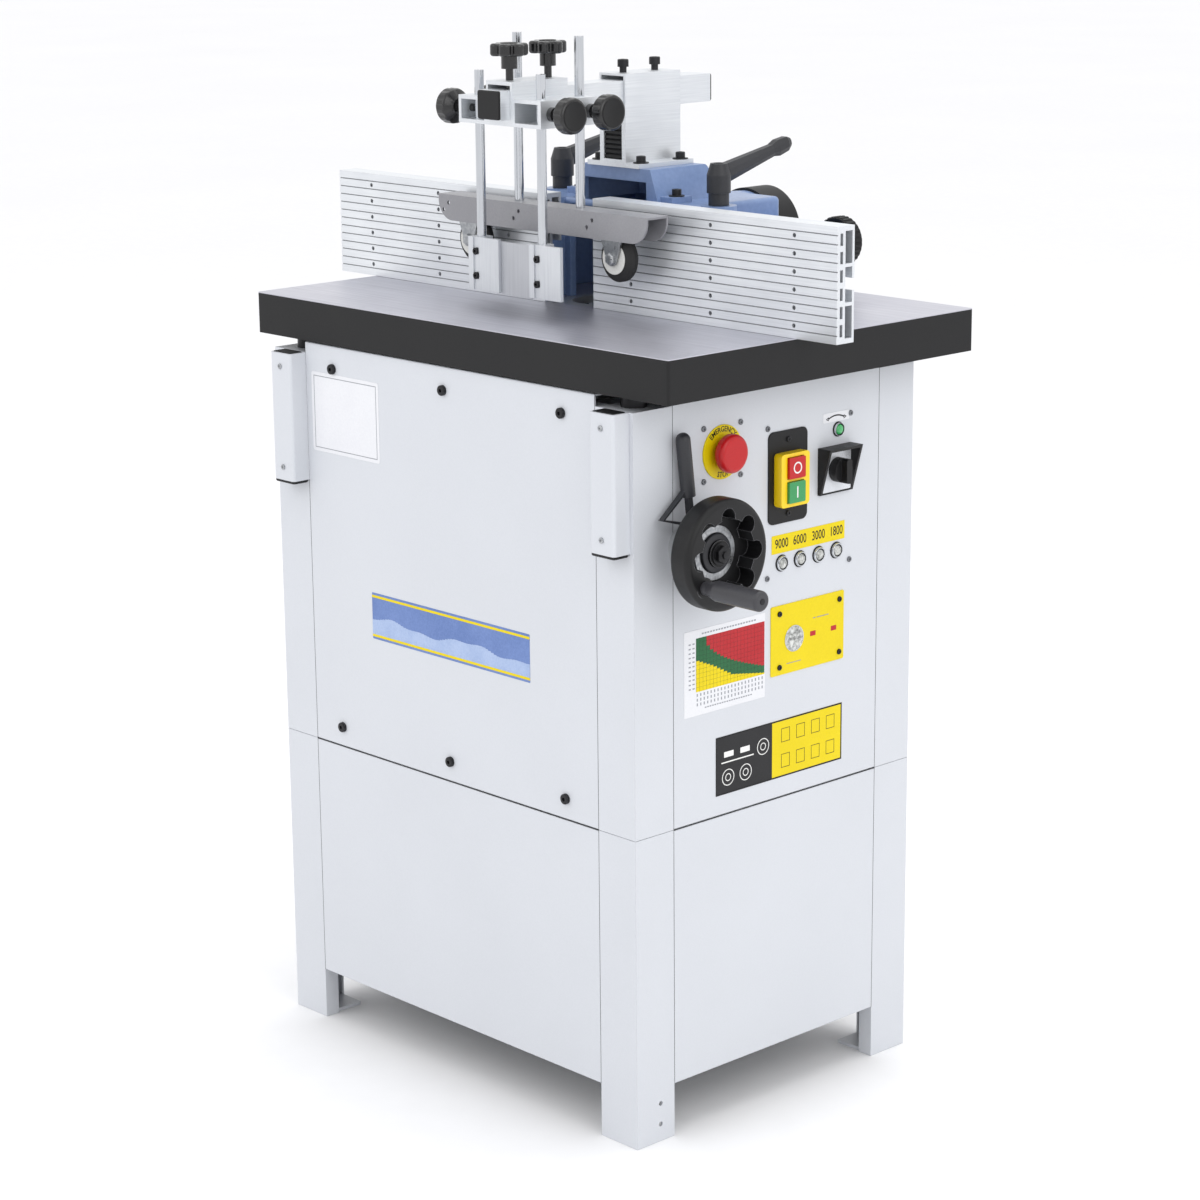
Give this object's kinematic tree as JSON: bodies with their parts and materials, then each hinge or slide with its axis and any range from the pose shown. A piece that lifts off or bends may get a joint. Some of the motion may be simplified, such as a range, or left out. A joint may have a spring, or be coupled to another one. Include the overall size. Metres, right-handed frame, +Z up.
{
  "type": "spindle moulder",
  "caption": "Floor-standing spindle moulder with a cast table on a sheet-metal cabinet, a ribbed fence with a dust hood, a roller pressure guard, a height handwheel and a switch panel.",
  "frame": {"origin": "on the floor, in the middle of the four floor bolt holes", "axes": "+X to the control panel side, +Y to the back with the dust port, +Z up"},
  "size_m": [0.7953, 0.499, 1.122],
  "materials": {
    "cabinet_paint": "light grey powder coat, satin",
    "table_iron": "ground top, dark painted edge",
    "hood_paint": "blue hammered paint on a casting",
    "machine_iron": "machined casting",
    "turned_steel": "turned",
    "alloy": "anodised extrusion",
    "rod_steel": "ground and plated",
    "channel_paint": "grey paint, satin",
    "black_plastic": "black moulding",
    "wheel_plastic": "black moulding, gloss",
    "lever_paint": "black coating on die castings and steel",
    "red_plastic": "red moulding",
    "green_plastic": "green moulding",
    "yellow_plastic": "yellow moulding",
    "belt_rubber": "black belt",
    "tyre_rubber": "black tyre on a pale hub"
  },
  "bodies": {
    "frame": {"stand_legs": "cabinet_paint", "stand_panels": "cabinet_paint", "cabinet_frame": "cabinet_paint", "front_cover": "cabinet_paint", "control_panel": "cabinet_paint", "left_panel": "cabinet_paint", "rear_panel": "cabinet_paint", "front_brackets": "cabinet_paint", "table": "table_iron", "table_spacers": "turned_steel", "table_ring": "turned_steel", "lift_bracket": "machine_iron", "wheel_bush": "turned_steel", "switch_housing": "yellow_plastic", "selector_frame": "black_plastic"},
    "spindle_head": {"spindle_housing": "machine_iron", "spindle_bearings": "turned_steel", "motor_plate": "turned_steel", "motor_housing": "alloy", "drive_belt": "belt_rubber"},
    "spindle": {"spindle_shaft": "turned_steel", "spindle_rings": "turned_steel", "spindle_pulley": "alloy"},
    "rotor": {"motor_rotor": "turned_steel", "motor_pulley": "alloy"},
    "handwheel": {"handwheel": "wheel_plastic", "wheel_shaft": "turned_steel"},
    "wheel_grip": {"wheel_grip": "black_plastic"},
    "lift_screw": {"lift_screw": "turned_steel"},
    "lock_lever": {"lock_lever": "lever_paint"},
    "estop": {"estop_head": "red_plastic"},
    "stop_button": {"stop_button": "red_plastic"},
    "start_button": {"start_button": "green_plastic"},
    "selector_knob": {"selector_knob": "black_plastic"},
    "fence": {"hood": "hood_paint", "dust_port": "black_plastic", "outfeed_rail": "turned_steel", "guard_post": "alloy", "post_insert": "black_plastic"},
    "left_fence": {"left_fence": "alloy"},
    "infeed": {"infeed_carrier": "turned_steel"},
    "right_fence": {"right_fence": "alloy"},
    "infeed_knob": {"infeed_knob": "black_plastic"},
    "left_lever": {"left_lever": "lever_paint"},
    "right_lever": {"right_lever": "lever_paint"},
    "arm": {"guard_arm": "alloy"},
    "carriage": {"carriage": "alloy"},
    "shoes": {"front_rods": "rod_steel", "guard_shoes": "alloy"},
    "presser": {"rear_rods": "rod_steel", "pressure_channel": "channel_paint", "roller_forks": "turned_steel"},
    "left_roller": {"left_roller": "tyre_rubber"},
    "right_roller": {"right_roller": "tyre_rubber"},
    "front_left_knob": {"front_left_knob": "black_plastic"},
    "front_right_knob": {"front_right_knob": "black_plastic"},
    "rear_left_knob": {"rear_left_knob": "black_plastic"},
    "rear_right_knob": {"rear_right_knob": "black_plastic"},
    "front_top_knob": {"front_top_knob": "black_plastic"},
    "rear_top_knob": {"rear_top_knob": "black_plastic"}
  },
  "joints": [
    {"name": "handwheel_turn", "type": "hinge", "parent": "frame", "child": "handwheel", "pos_m": [0.319, -0.1345, 0.631], "axis": [-1, 0, 0], "range_deg": [0, 6841]},
    {"name": "grip_spin", "type": "hinge", "parent": "handwheel", "child": "wheel_grip", "pos_m": [0.346, -0.1675, 0.604], "axis": [1, 0, 0], "continuous": true},
    {"name": "screw_turn", "type": "hinge", "parent": "frame", "child": "lift_screw", "pos_m": [0.066, -0.1345, 0.631], "axis": [0, 0, -1], "range_deg": [0, 6841]},
    {"name": "spindle_rise", "type": "slide", "parent": "frame", "child": "spindle_head", "axis": [0, 0, 1], "range_m": [0, 0.095]},
    {"name": "motor_spin", "type": "hinge", "parent": "spindle_head", "child": "rotor", "pos_m": [-0.164, 0.072, 0.56], "axis": [0, 0, 1], "continuous": true},
    {"name": "spindle_spin", "type": "hinge", "parent": "spindle_head", "child": "spindle", "pos_m": [0.011, 0.012, 0.56], "axis": [0, 0, 1], "continuous": true},
    {"name": "lock_swing", "type": "hinge", "parent": "frame", "child": "lock_lever", "pos_m": [0.286, -0.1345, 0.631], "axis": [1, 0, 0], "range_deg": [0, 60]},
    {"name": "estop_press", "type": "slide", "parent": "frame", "child": "estop", "axis": [-1, 0, 0], "range_m": [0, 0.005]},
    {"name": "stop_press", "type": "slide", "parent": "frame", "child": "stop_button", "axis": [-1, 0, 0], "range_m": [0, 0.003], "stiffness_N_per_m": 400},
    {"name": "start_press", "type": "slide", "parent": "frame", "child": "start_button", "axis": [-1, 0, 0], "range_m": [0, 0.003], "stiffness_N_per_m": 400},
    {"name": "selector_turn", "type": "hinge", "parent": "frame", "child": "selector_knob", "pos_m": [0.286, 0.0835, 0.678], "axis": [1, 0, 0], "range_deg": [-60, 60]},
    {"name": "fence_slide", "type": "slide", "parent": "frame", "child": "fence", "axis": [0, 1, 0], "range_m": [-0.02, 0.03]},
    {"name": "left_plate_slide", "type": "slide", "parent": "fence", "child": "left_fence", "axis": [1, 0, 0], "range_m": [-0.04, 0]},
    {"name": "infeed_slide", "type": "slide", "parent": "fence", "child": "infeed", "axis": [0, 1, 0], "range_m": [-0.009, 0.003]},
    {"name": "infeed_knob_turn", "type": "hinge", "parent": "fence", "child": "infeed_knob", "pos_m": [0.174, 0.196, 0.894], "axis": [0, 1, 0], "range_deg": [-541, 1621]},
    {"name": "right_plate_slide", "type": "slide", "parent": "infeed", "child": "right_fence", "axis": [1, 0, 0], "range_m": [-0.008, 0.04]},
    {"name": "left_lever_swing", "type": "hinge", "parent": "fence", "child": "left_lever", "pos_m": [-0.111, 0.067, 0.942], "axis": [0, 0, 1], "range_deg": [-20, 90]},
    {"name": "right_lever_swing", "type": "hinge", "parent": "fence", "child": "right_lever", "pos_m": [0.133, 0.067, 0.942], "axis": [0, 0, 1], "range_deg": [-90, 20]},
    {"name": "arm_slide", "type": "slide", "parent": "fence", "child": "arm", "axis": [0, 1, 0], "range_m": [-0.045, 0]},
    {"name": "carriage_slide", "type": "slide", "parent": "arm", "child": "carriage", "axis": [0, 1, 0], "range_m": [-0.012, 0.001]},
    {"name": "shoe_height", "type": "slide", "parent": "carriage", "child": "shoes", "axis": [0, 0, 1], "range_m": [-0.018, 0.06]},
    {"name": "presser_height", "type": "slide", "parent": "carriage", "child": "presser", "axis": [0, 0, 1], "range_m": [-0.034, 0.06]},
    {"name": "left_roller_spin", "type": "hinge", "parent": "presser", "child": "left_roller", "pos_m": [-0.107, -0.0633, 0.898], "axis": [0, 1, 0], "continuous": true},
    {"name": "right_roller_spin", "type": "hinge", "parent": "presser", "child": "right_roller", "pos_m": [0.118, -0.0633, 0.898], "axis": [0, 1, 0], "continuous": true},
    {"name": "front_left_knob_turn", "type": "hinge", "parent": "carriage", "child": "front_left_knob", "pos_m": [-0.053, -0.117, 1.04625], "axis": [-1, 0, 0], "range_deg": [-360, 0]},
    {"name": "rear_left_knob_turn", "type": "hinge", "parent": "carriage", "child": "rear_left_knob", "pos_m": [-0.053, -0.0633, 1.04625], "axis": [-1, 0, 0], "range_deg": [-360, 0]},
    {"name": "front_right_knob_turn", "type": "hinge", "parent": "carriage", "child": "front_right_knob", "pos_m": [0.075, -0.117, 1.04625], "axis": [1, 0, 0], "range_deg": [-360, 0]},
    {"name": "rear_right_knob_turn", "type": "hinge", "parent": "carriage", "child": "rear_right_knob", "pos_m": [0.075, -0.0633, 1.04625], "axis": [1, 0, 0], "range_deg": [-360, 0]},
    {"name": "front_top_knob_turn", "type": "hinge", "parent": "carriage", "child": "front_top_knob", "pos_m": [0.011, -0.117, 1.0775], "axis": [0, 0, 1], "range_deg": [0, 360]},
    {"name": "rear_top_knob_turn", "type": "hinge", "parent": "carriage", "child": "rear_top_knob", "pos_m": [0.011, -0.0633, 1.0775], "axis": [0, 0, 1], "range_deg": [0, 360]}
  ],
  "couplings": [
    {"joint": "handwheel_turn", "follows": "spindle_rise", "rad_per_m": 1256.6},
    {"joint": "screw_turn", "follows": "spindle_rise", "rad_per_m": 1256.6},
    {"joint": "spindle_spin", "follows": "motor_spin", "ratio": 2.125},
    {"joint": "infeed_knob_turn", "follows": "infeed_slide", "rad_per_m": -3141.6}
  ]
}
